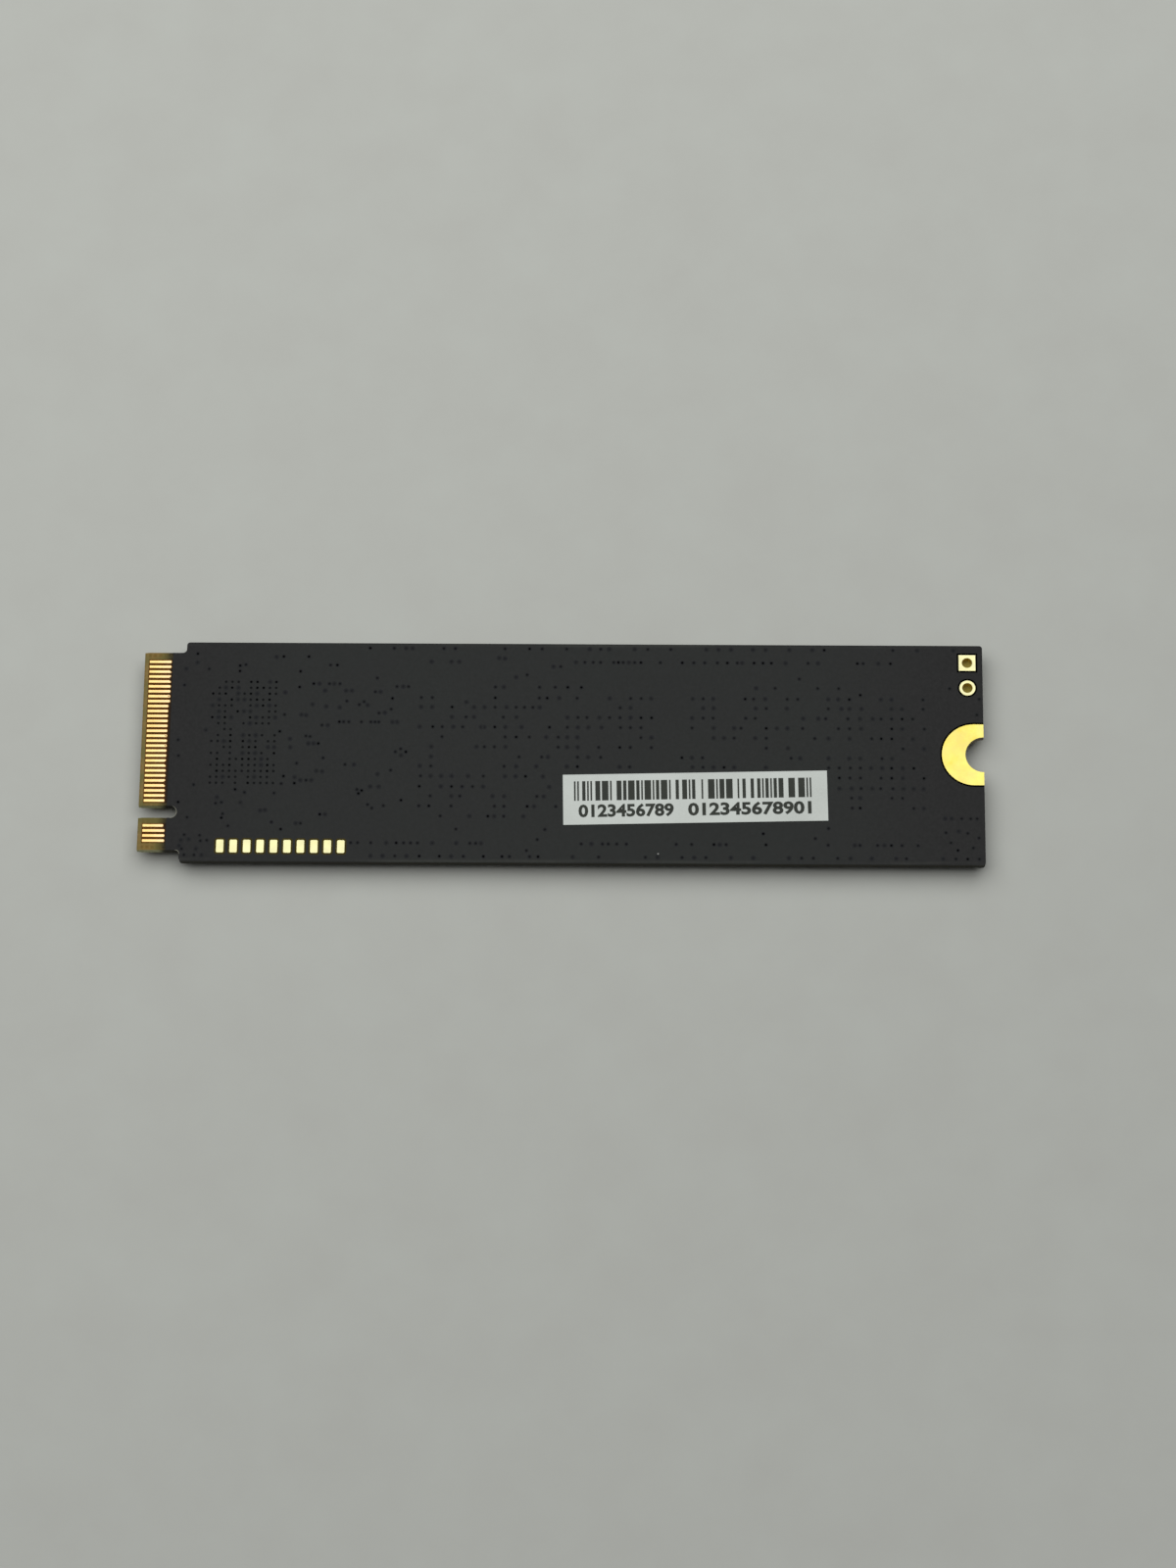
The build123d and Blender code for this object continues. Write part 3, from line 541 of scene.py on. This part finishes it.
# single vias by the tongue, the power parts and the screw end
looseVias = (
    (-34.95, 9.85), (-34.95, 8.95), (-36.0, 8.3), (-33.8, 8.3), (-36.1, 6.65), (-30.85, 8.65), (-30.3, 8.75),
    (-30.85, 8.1), (-27.4, 9.55), (-26.7, 9.6), (-26.45, 5.95), (-26.45, 3.7), (-26.85, 2.0),
    (-25.85, 1.25), (-25.8, 0.4), (-25.15, -1.2), (-26.35, -2.5), (-26.55, -3.25), (-25.3, -2.6),
    (-25.3, -3.2), (-27.2, -4.2), (-30.9, -3.85), (-30.0, -4.15), (-32.6, -4.65), (-32.7, -5.25),
    (-32.15, -5.15), (-30.35, -5.15), (-32.0, -6.3), (-32.1, -6.7), (-28.45, -5.95), (-28.0, -5.9),
    (-27.35, -7.1), (-26.45, -7.8), (-31.45, -7.5), (-35.35, -6.67), (-36.25, -5.15), (-36.5, 1.1),
    (-36.4, -0.5), (-34.85, -3.4), (-33.9, 2.1), (-35.55, -8.4), (-35.1, -8.85), (-35.85, -8.95),
    (-34.1, -8.45), (-34.0, -9.0), (-33.4, -8.95), (-36.0, -9.5), (-34.4, -9.8), (-35.75, -9.8),
    (-35.5, -10.4), (-34.55, -10.4), (-33.85, -10.4), (-24.3, 9.6), (-22.2, 8.75), (-21.55, 8.75),
    (-25.05, 8.1), (-25.1, 6.5), (-22.65, 6.15), (-20.65, 6.15), (-20.1, 6.15), (-17.85, 6.05),
    (-17.35, 6.05), (-17.7, 7.45), (-20.55, 5.1), (-18.9, 5.05), (-16.2, 5.4), (-23.8, 4.75),
    (-22.5, 4.55), (-21.2, 4.45), (-19.35, 4.75), (-18.55, 4.7), (-16.3, 4.3), (-24.85, 3.7),
    (-24.4, 3.65), (-17.45, 3.9), (-16.9, 3.95), (-22.85, 2.65), (-22.3, 2.65), (-24.35, 1.55),
    (-23.95, 1.5), (-22.65, -0.65), (-20.55, -1.3), (-19.7, -1.3), (-23.25, -1.95), (-22.7, -2.0),
    (-17.45, -2.25), (-16.2, -1.85), (-15.3, 0.3), (-15.8, 0.0), (-14.8, 0.0), (-15.25, -0.35),
    (-19.35, -3.8), (-18.9, -3.9), (-19.2, -4.2), (-18.1, -3.5), (-17.3, -3.5), (-18.3, -5.3),
    (-17.9, -5.65), (-16.8, -5.4), (-15.15, -4.85), (-22.8, -6.3), (-22.3, -6.3), (-25.05, -7.2),
    (-24.6, -7.2), (-6.1, 9.55), (-5.55, 9.5), (-0.9, 8.7), (-0.2, 8.7), (-4.45, 7.6), (-3.4, 7.85),
    (-9.15, 5.05), (22.55, 7.55), (28.35, 5.95), (36.85, 6.65), (-9.9, -7.7), (-1.5, -7.7), (-2.2, -8.7),
    (-3.2, -9.8), (19.1, -8.0), (24.0, -8.45), (25.25, -7.45), (36.3, -7.8), (37.5, -7.65), (38.35, -7.85),
    (36.75, -8.8), (37.4, -9.55), (38.85, -9.3), (39.4, -8.3), (39.65, 5.6), (39.4, 4.0))

viaSize = {"skirt": 1.1, "lift": 0.005, "dip": 0.004, "sides": 12, "seed": 7}


def viaPlaces():
    # each place with the kinds of via that may stand there
    field = controllerField
    places = [(field["left"] + column * field["pitch"], field["top"] - row * field["pitch"], fieldMix)
              for row, line in enumerate(field["rows"]) for column, mark in enumerate(line) if mark == "o"]
    places += [(x, y, viaMix) for y, xs in viaRows.items() for x in xs]
    return places + [(x, y, viaMix) for x, y in looseVias]


def makeViaShape(kind, up):
    # one dish about the origin: a disc, inset once for each of its rings
    size, rings = viaSize, viaKinds[kind]
    bm = bmesh.new()
    reach = rings[0][0] * size["skirt"]
    bmesh.ops.create_circle(bm, cap_ends=True, segments=size["sides"], radius=reach * mm)
    if bm.faces[:][0].normal.z * up < 0:
        bmesh.ops.reverse_faces(bm, faces=bm.faces[:])
    middle = bm.faces[:]
    step = size["lift"]
    for radius, shade in rings:
        narrowing = (reach - radius) * math.cos(math.pi / size["sides"])
        bmesh.ops.inset_region(bm, faces=middle, thickness=narrowing * mm, depth=step * mm,
                               use_boundary=True, use_even_offset=True)
        for face in middle:
            face.material_index = shade + 1
        reach, step = radius, -size["dip"] / len(rings)
    bmesh.ops.holes_fill(bm, edges=[edge for edge in bm.edges if edge.is_boundary], sides=0)
    bmesh.ops.recalc_face_normals(bm, faces=bm.faces[:])
    shape = bpy.data.meshes.new(kind)
    bm.to_mesh(shape)
    bm.free()
    return shape


def makeVias(name, faceZ, up):
    # up is 1 on the back face and -1 on the front face
    chance = random.Random(viaSize["seed"])
    shapes = {kind: makeViaShape(kind, up) for kind in viaKinds}
    bm = bmesh.new()
    for x, y, mix in viaPlaces():
        dish = shapes[chance.choice(mix)].copy()
        dish.transform(Matrix.Translation((x * mm, y * mm, faceZ)))
        bm.from_mesh(dish)
        bpy.data.meshes.remove(dish)
    for shape in shapes.values():
        bpy.data.meshes.remove(shape)
    finishPiece(bm, name, [maskMaterial, *viaSteps])


makeVias("tented_vias_back", backFace, 1)
makeVias("tented_vias_front", frontFace, -1)
print("vias placed:", len(viaPlaces()), "on each face")


# Small marks: pits by the inner ends of three fingers, drawn as dark discs of painted shade, a pale speck
# of dust, bare laminate along the routed ends of the key and of the lower shoulder with a painted highlight
# of the lit wall, the mask's openings round the lands, and an olive disc that closes each of the two header
# holes near the front face, as painted shade and gold-reflected light of the table seen through the hole
marks = {
    "sides": 16, "lift": 0.003,
    "pits": ((-37.58, 5.5), (-37.70, 1.5), (-37.70, 0.5)), "pitRadius": 0.065,
    "specks": ((9.2, -10.05),), "speckRadius": 0.075,
    "arcs": ((-37.0, -6.125, 0.60, -95, 70), (-36.4, -10.325, 0.40, 0, 90)), "rimWidth": 0.055,
    "rimTaper": 0.1,
    "openings": {"test_pads": 0, "header_land_square": 0.6, "header_land_round": 0.6, "screw_land": 2.2},
    "openingWidth": 0.17,
    "holeLightDiscs": ("header_land_square", "header_land_round"), "holeLightRadius": 0.51, "holeLightLift": 0.02}
speckLook = {
    "dark": (0.20, 0.20, 0.19), "light": (0.26, 0.26, 0.25), "fleck": (0.32, 0.32, 0.31),
    "patchScale": 900, "grainScale": 9000, "grainShare": 0.3, "roughness": (0.6, 0.8),
    "bump": 0.1, "depth": 0.000005}
# bare laminate at the routed edges, paled further as a painted highlight of the lit wall
rimLook = {
    "dark": (0.10, 0.10, 0.075), "light": (0.17, 0.17, 0.13), "fleck": (0.26, 0.26, 0.20),
    "patchScale": 1500, "grainScale": 9000, "grainShare": 0.4, "roughness": (0.6, 0.8),
    "bump": 0.1, "depth": 0.000005}
# olive discs in the header holes: painted shade and gold-reflected light of the table seen through the holes
holeLightLook = {
    "dark": (0.205, 0.172, 0.032), "light": (0.265, 0.228, 0.048), "fleck": (0.33, 0.29, 0.085),
    "patchScale": 1500, "grainScale": 7000, "grainShare": 0.4, "roughness": (0.5, 0.7),
    "bump": 0.2, "depth": 0.00001, "plain": {"Specular IOR Level": 0.1}}
openingLook = {
    "dark": (0.034, 0.024, 0.003), "light": (0.050, 0.037, 0.005), "fleck": (0.066, 0.051, 0.012),
    "patchScale": 900, "grainScale": 9000, "grainShare": 0.4, "roughness": (0.6, 0.8),
    "bump": 0.1, "depth": 0.000005, "plain": {"Specular IOR Level": 0.05}}


def addDisc(bm, x, y, z, radius):
    bmesh.ops.create_circle(bm, cap_ends=True, segments=marks["sides"], radius=radius * mm,
                            matrix=Matrix.Translation((x * mm, y * mm, z)))


def addArc(bm, x, y, z, radius, start, end):
    # a strip swept round the routed corner, thinner towards its ends
    centre, width = Vector((x * mm, y * mm, z)), marks["rimWidth"] * mm
    first = Vector((math.cos(math.radians(start)), math.sin(math.radians(start)), 0))
    inner = bm.verts.new(centre + first * radius * mm)
    outer = bm.verts.new(centre + first * (radius * mm + width))
    before = set(bm.verts) - {inner, outer}
    edge = bm.edges.new((inner, outer))
    bmesh.ops.spin(bm, geom=[inner, outer, edge], cent=centre, axis=(0, 0, 1), steps=marks["sides"],
                   angle=math.radians(end - start))
    for vert in set(bm.verts) - before:
        away = vert.co - centre
        if away.length > radius * mm + width / 2:
            share = math.degrees(first.angle(away)) / (end - start)
            along = share * (1 - 2 * marks["rimTaper"]) + marks["rimTaper"]
            vert.co = centre + away.normalized() * (radius * mm + width * math.sin(math.pi * along))


def addOpening(bm, source, hole):
    # a strip outside the land's outline, cut off at the card's end and left out of the land's hole
    low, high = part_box(source)
    land = bmesh.new()
    land.from_mesh(nodes[source].data)
    bmesh.ops.remove_doubles(land, verts=land.verts, dist=joining["weld"])
    others = [face for face in land.faces if face.normal.z < joining["level"]]
    bmesh.ops.delete(land, geom=others, context="FACES")
    bmesh.ops.dissolve_limit(land, angle_limit=joining["turn"], verts=land.verts, edges=land.edges)
    tops = land.faces[:]
    bmesh.ops.inset_region(land, faces=tops, thickness=-marks["openingWidth"] * mm, use_boundary=True,
                           use_even_offset=True)
    bmesh.ops.delete(land, geom=tops, context="FACES")
    centre = Vector((high.x if source == "screw_land" else (low.x + high.x) / 2, (low.y + high.y) / 2))
    inside = [face for face in land.faces if (face.calc_center_median().xy - centre).length < hole * mm]
    bmesh.ops.delete(land, geom=inside, context="FACES")
    bmesh.ops.bisect_plane(land, geom=land.verts[:] + land.edges[:] + land.faces[:], plane_no=(1, 0, 0),
                           plane_co=(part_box("solder_mask_back")[1].x, 0, 0), clear_outer=True)
    for vert in land.verts:
        vert.co.z = backFace
    ring = bpy.data.meshes.new("ring")
    land.to_mesh(ring)
    land.free()
    bm.from_mesh(ring)
    bpy.data.meshes.remove(ring)


def makeMarks(values):
    pits, specks, rims, openings, holeLightDiscs = (bmesh.new() for kind in range(5))
    # dark discs as painted shade of the pits
    for x, y in values["pits"]:
        addDisc(pits, x, y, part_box("contact_fingers_back")[1].z, values["pitRadius"])
    for x, y in values["specks"]:
        addDisc(specks, x, y, backFace, values["speckRadius"])
    # bare laminate with a painted highlight along the routed ends
    for x, y, radius, start, end in values["arcs"]:
        addArc(rims, x, y, backFace, radius, start, end)
    for source, hole in values["openings"].items():
        addOpening(openings, source, hole)
    # a disc in each header hole standing for the shaded table below, tinted by painted light reflected off
    # the gold barrel
    for source in values["holeLightDiscs"]:
        low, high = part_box(source)
        addDisc(holeLightDiscs, (low.x + high.x) / 2 / mm, (low.y + high.y) / 2 / mm,
                frontFace + values["holeLightLift"] * mm, values["holeLightRadius"])
    for flat in (pits, specks, rims, openings, holeLightDiscs):
        made = bmesh.ops.extrude_face_region(flat, geom=flat.faces[:])
        raised = [part for part in made["geom"] if isinstance(part, bmesh.types.BMVert)]
        bmesh.ops.translate(flat, verts=raised, vec=(0, 0, values["lift"] * mm))
        bmesh.ops.recalc_face_normals(flat, faces=flat.faces[:])
    finishPiece(pits, "finger_pits", [flankMaterial])
    finishPiece(specks, "dust_speck", [grainyMaterial("paleDust", speckLook)])
    finishPiece(rims, "routed_rims_and_highlight", [grainyMaterial("routedRimHighlight", rimLook)])
    finishPiece(openings, "mask_openings", [grainyMaterial("openLaminate", openingLook)])
    finishPiece(holeLightDiscs, "header_hole_painted_light", [grainyMaterial("paintedHoleLight", holeLightLook)])


makeMarks(marks)
print("small marks made")


# Solder balls: flattened spheres in the two outer rings under each package
solderLook = {
    "dark": (0.50, 0.51, 0.52), "light": (0.66, 0.67, 0.68), "streak": (0.80, 0.80, 0.80),
    "mottleScale": 2600, "stretch": (3000.0, 3000.0, 3000.0), "streakShare": 0.35, "roughness": (0.26, 0.44),
    "bump": 0.15}
solderMaterial = goldMaterial("reflowedSolder", solderLook)
ballArrays = {
    "controller": {"columns": 12, "rows": 19, "bulge": 0.19, "waist": 0.14},
    "memory": {"columns": 11, "rows": 12, "bulge": 0.26, "waist": 0.21}}
ballShape = {"outerRings": 2, "segments": 12, "rings": 7, "swell": 1.3}


def makeBalls(name, values):
    low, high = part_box(name + "_balls")
    half = values["waist"] * mm
    stepX = (high.x - low.x - 2 * half) / (values["columns"] - 1)
    stepY = (high.y - low.y - 2 * half) / (values["rows"] - 1)
    middleZ = (low.z + high.z) / 2
    squash = ballShape["swell"] * (high.z - low.z) / (2 * values["bulge"] * mm)
    bm = bmesh.new()
    for column in range(values["columns"]):
        for row in range(values["rows"]):
            ring = min(column, row, values["columns"] - 1 - column, values["rows"] - 1 - row)
            if ring >= ballShape["outerRings"]:
                continue
            at = Matrix.Translation((low.x + half + column * stepX, low.y + half + row * stepY, middleZ))
            bmesh.ops.create_uvsphere(
                bm, u_segments=ballShape["segments"], v_segments=ballShape["rings"],
                radius=values["bulge"] * mm, matrix=at @ Matrix.Diagonal((1, 1, squash, 1)))
    for z, outward in ((high.z, 1), (low.z, -1)):
        cut = bmesh.ops.bisect_plane(
            bm, geom=bm.verts[:] + bm.edges[:] + bm.faces[:], plane_co=(0, 0, z),
            plane_no=(0, 0, outward), clear_outer=True)
        rim = [edge for edge in cut["geom_cut"] if isinstance(edge, bmesh.types.BMEdge)]
        bmesh.ops.holes_fill(bm, edges=rim, sides=0)
    bmesh.ops.recalc_face_normals(bm, faces=bm.faces)
    piece = finishPiece(bm, name + "_solder_balls", [solderMaterial], smooth=True)
    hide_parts(name + "_balls")


makeBalls("controller", ballArrays["controller"])
mouldNames = [name for name in nodes if name.endswith("_mould")]
for memoryName in sorted(name.removesuffix("_mould") for name in mouldNames if name.startswith("memory_")):
    makeBalls(memoryName, ballArrays["memory"])
print("solder balls made")


# Packages and power parts on the front face
mouldLook = {
    "dark": (0.016, 0.016, 0.017), "light": (0.022, 0.022, 0.023), "fleck": (0.045, 0.045, 0.046),
    "patchScale": 300, "grainScale": 7000, "grainShare": 0.5, "roughness": (0.55, 0.72),
    "bump": 0.35, "depth": 0.00001, "plain": {"Specular IOR Level": 0.35}}
substrateLook = {
    "dark": (0.030, 0.060, 0.030), "light": (0.045, 0.085, 0.040), "fleck": (0.10, 0.12, 0.06),
    "patchScale": 600, "grainScale": 6000, "grainShare": 0.4, "roughness": (0.45, 0.6),
    "bump": 0.2, "depth": 0.00001, "plain": {"Specular IOR Level": 0.4}}
ceramicLook = {
    "dark": (0.30, 0.21, 0.13), "light": (0.38, 0.28, 0.18), "fleck": (0.48, 0.38, 0.27),
    "patchScale": 900, "grainScale": 9000, "grainShare": 0.4, "roughness": (0.35, 0.5),
    "bump": 0.15, "depth": 0.00001}
resistorLook = {
    "dark": (0.018, 0.018, 0.022), "light": (0.028, 0.028, 0.034), "fleck": (0.06, 0.06, 0.07),
    "patchScale": 900, "grainScale": 9000, "grainShare": 0.3, "roughness": (0.2, 0.35),
    "bump": 0.1, "depth": 0.00001}
ferriteLook = {
    "dark": (0.060, 0.060, 0.062), "light": (0.085, 0.085, 0.088), "fleck": (0.17, 0.17, 0.17),
    "patchScale": 500, "grainScale": 5200, "grainShare": 0.6, "roughness": (0.5, 0.75),
    "bump": 0.5, "depth": 0.00002}
crystalCeramicLook = {
    "dark": (0.22, 0.19, 0.16), "light": (0.30, 0.27, 0.23), "fleck": (0.42, 0.38, 0.33),
    "patchScale": 900, "grainScale": 9000, "grainShare": 0.3, "roughness": (0.4, 0.55),
    "bump": 0.15, "depth": 0.00001}
lidLook = {
    "dark": (0.62, 0.60, 0.54), "light": (0.74, 0.72, 0.66), "streak": (0.86, 0.84, 0.78),
    "mottleScale": 1600, "stretch": (300.0, 9000.0, 9000.0), "streakShare": 0.5, "roughness": (0.24, 0.40),
    "bump": 0.12}
dress(grainyMaterial("mouldedEpoxy", mouldLook), *mouldNames, "power_converter_body", "load_switch_body")
dress(grainyMaterial("packageSubstrate", substrateLook),
      *[name for name in nodes if name.endswith("_substrate")])
dress(grainyMaterial("capacitorCeramic", ceramicLook),
      *[name for name in nodes if name.endswith("capacitor_bodies")])
dress(grainyMaterial("resistorGlaze", resistorLook), "resistor_bodies")
dress(grainyMaterial("pressedFerrite", ferriteLook), "inductor_bodies")
dress(grainyMaterial("crystalCeramic", crystalCeramicLook), "crystal_base")
dress(goldMaterial("lidNickel", lidLook), "crystal_lid")
dress(solderMaterial, "power_converter_lands", "load_switch_leads", "inductor_terminals", "crystal_pads",
      *[name for name in nodes if name.endswith(("capacitor_terminals", "resistor_terminals"))])
print("packages dressed")


# Table, light and camera
table = {"size": 3.0, "top": (0.475, 0.487, 0.455), "bottom": (0.395, 0.405, 0.380), "reach": 0.11,
         "lean": -0.5, "blotchScale": 130, "tintLow": (0.985, 0.98, 0.975),
         "tintHigh": (1.02, 1.025, 1.02)}


def makeTable(values):
    bm = bmesh.new()
    bmesh.ops.create_grid(bm, x_segments=1, y_segments=1, size=values["size"] / 2)
    mesh = bpy.data.meshes.new("table")
    material, tree, shader = startMaterial("paleTable", {"Roughness": 0.9, "Specular IOR Level": 0.1})
    axes = objectAxes(tree)
    # the colour runs from darker at the bottom right to paler at the top left: a painted falloff of the
    # light across the table
    lean = multiply(tree, axes["X"], values["lean"])
    slope = addNode(tree, "ShaderNodeMath", {0: axes["Y"], 1: lean}, operation="ADD")
    ramp = addNode(tree, "ShaderNodeMapRange", {
        "Value": slope.outputs["Value"], "From Min": -values["reach"], "From Max": values["reach"]},
        interpolation_type="SMOOTHSTEP")
    colour = blendColours(tree, ramp.outputs["Result"], values["bottom"], values["top"])
    blotches = useGroup(tree, grain, {"Scale": values["blotchScale"], **wideRange})
    tint = blendColours(tree, blotches.outputs["Mask"], values["tintLow"], values["tintHigh"])
    mottled = addNode(tree, "ShaderNodeVectorMath", {0: colour, 1: tint}, operation="MULTIPLY")
    tree.links.new(mottled.outputs["Vector"], shader.inputs["Base Color"])
    mesh.materials.append(material)
    bm.to_mesh(mesh)
    bm.free()
    floor = bpy.data.objects.new("table", mesh)
    bpy.context.scene.collection.objects.link(floor)


lamp = {"width": 2.5, "height": 1.7, "distance": 1.25, "lean": 20.0, "turn": 15.0, "power": 28.0,
        "worldStrength": 0.07, "mirrored": 0.30, "worldColour": (1.0, 1.0, 0.985, 1)}


def makeLight(values):
    light = bpy.data.lights.new("softbox", "AREA")
    light.shape = "RECTANGLE"
    light.size, light.size_y = values["width"], values["height"]
    light.energy = values["power"]
    lean, turn = math.radians(values["lean"]), math.radians(values["turn"])
    holder = bpy.data.objects.new("softbox", light)
    direction = Vector((-math.sin(lean) * math.sin(turn), math.sin(lean) * math.cos(turn), math.cos(lean)))
    holder.location = direction * values["distance"]
    holder.rotation_euler = direction.to_track_quat("Z", "Y").to_euler()
    bpy.context.scene.collection.objects.link(holder)
    world = bpy.data.worlds.new("room")
    world.use_nodes = True
    ground = world.node_tree.nodes["Background"]
    ground.inputs["Color"].default_value = values["worldColour"]
    # metal mirrors a paler room than the one that lights the table
    rays = addNode(world.node_tree, "ShaderNodeLightPath")
    strength = varyValue(world.node_tree, rays.outputs["Is Glossy Ray"], values["worldStrength"],
                         values["mirrored"])
    world.node_tree.links.new(strength, ground.inputs["Strength"])
    bpy.context.scene.world = world


shot = {"location": (10.107 * mm, -144.531 * mm, 411.573 * mm), "turn": (0.331047, 0.014771, 0.010608),
        "lens": 105.59, "sensor": 36, "nearest": 0.01, "farthest": 20}


def makeCamera(values):
    lensData = bpy.data.cameras.new("shot")
    lensData.lens = values["lens"]
    lensData.sensor_width = values["sensor"]
    lensData.clip_start = values["nearest"]
    lensData.clip_end = values["farthest"]
    camera = bpy.data.objects.new("shot", lensData)
    camera.location = Vector(values["location"]) + Vector((0, 0, backFace))
    camera.rotation_euler = values["turn"]
    bpy.context.scene.collection.objects.link(camera)
    bpy.context.scene.camera = camera


makeTable(table)
makeLight(lamp)
makeCamera(shot)
print("table, light and camera set")
